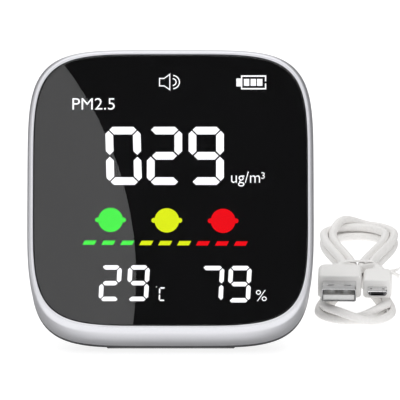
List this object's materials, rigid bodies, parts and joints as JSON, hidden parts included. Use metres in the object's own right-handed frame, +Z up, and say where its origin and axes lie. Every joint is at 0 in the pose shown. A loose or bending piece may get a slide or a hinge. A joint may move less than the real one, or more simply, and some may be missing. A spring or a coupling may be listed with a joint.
{
  "type": "air quality monitor",
  "caption": "Square desktop air quality monitor: silver case, flush black display face, vents and buttons at the back, a fold-out leg, and its tied white charging lead.",
  "frame": {"origin": "on the table under the middle of the monitor's box, the loose cord left out", "axes": "+Z up, the display faces -Y and leans back by 25 degrees, +X to the right of someone reading the display"},
  "size_m": [0.1314, 0.1908, 0.1027],
  "materials": {
    "silver_paint": "silver pearl paint, satin gloss",
    "dark_plastic": "fine matt texture",
    "smoked_lens": "polished, smoked",
    "foam": "matt closed-cell foam",
    "black_plastic": "matt black",
    "diffuser": "milky",
    "white_plastic": "smooth white",
    "circuit_board": "green solder mask",
    "chip": "matt moulding",
    "ivory_plastic": "natural nylon",
    "tinned_steel": "tinned sheet",
    "plug_steel": "bright nickel plate",
    "screw_steel": "zinc plate",
    "battery_foil": "satin foil",
    "red_wire": "smooth sleeve",
    "rubber": "matt",
    "white_cord": "smooth satin jacket",
    "white_plug": "satin overmould",
    "lit_white": "glowing segments",
    "lit_green": "glowing segments",
    "lit_yellow": "glowing segments",
    "lit_red": "glowing segments"
  },
  "bodies": {
    "monitor": {"front_housing": "silver_paint", "rear_cover": "dark_plastic", "front_lens": "smoked_lens", "lens_gasket": "foam", "battery_pad": "foam", "outlet_duct": "foam", "display_mask": "black_plastic", "buzzer": "black_plastic", "fan_motor": "black_plastic", "light_diffuser": "diffuser", "light_frame": "white_plastic", "display_board": "circuit_board", "main_board": "circuit_board", "button_board": "circuit_board", "display_driver": "chip", "memory_chip": "chip", "mcu_chip": "chip", "charger_chip": "chip", "light_detector": "chip", "board_header": "ivory_plastic", "battery_connector": "ivory_plastic", "climate_sensor": "tinned_steel", "usb_socket": "tinned_steel", "sensor_case": "tinned_steel", "sensor_lid": "tinned_steel", "power_switch": "tinned_steel", "mode_switch": "tinned_steel", "usb_a_shell": "plug_steel", "micro_plug_tip": "plug_steel", "case_screw_1": "screw_steel", "case_screw_2": "screw_steel", "case_screw_3": "screw_steel", "case_screw_4": "screw_steel", "board_screw_1": "screw_steel", "board_screw_2": "screw_steel", "board_screw_3": "screw_steel", "board_screw_4": "screw_steel", "laser_module": "screw_steel", "leg_pin": "screw_steel", "battery_cell": "battery_foil", "battery_lead": "red_wire", "base_strip": "rubber", "cord_hank": "white_cord", "cord_tie": "white_cord", "usb_a_cord_end": "white_cord", "micro_cord_end": "white_cord", "usb_a_plug_body": "white_plug", "micro_plug_body": "white_plug"},
    "leg": {"fold_leg": "dark_plastic", "leg_pad": "rubber"},
    "power_button": {"power_button": "silver_paint"},
    "mode_button": {"mode_button": "silver_paint"},
    "fan": {"fan_wheel": "black_plastic"}
  },
  "joints": [
    {"name": "leg_hinge", "type": "hinge", "parent": "monitor", "child": "leg", "pos_m": [0, 0.02469, 0.06491], "axis": [1, 0, 0], "range_deg": [-36.5, 0]},
    {"name": "power_push", "type": "slide", "parent": "monitor", "child": "power_button", "axis": [0, -0.9063, 0.4226], "range_m": [0, 0.0006], "stiffness_N_per_m": 600},
    {"name": "mode_push", "type": "slide", "parent": "monitor", "child": "mode_button", "axis": [0, -0.9063, 0.4226], "range_m": [0, 0.0006], "stiffness_N_per_m": 600},
    {"name": "fan_spin", "type": "hinge", "parent": "monitor", "child": "fan", "pos_m": [-0.027, 0.00964, 0.07192], "axis": [0, 0.9063, -0.4226], "continuous": true}
  ]
}
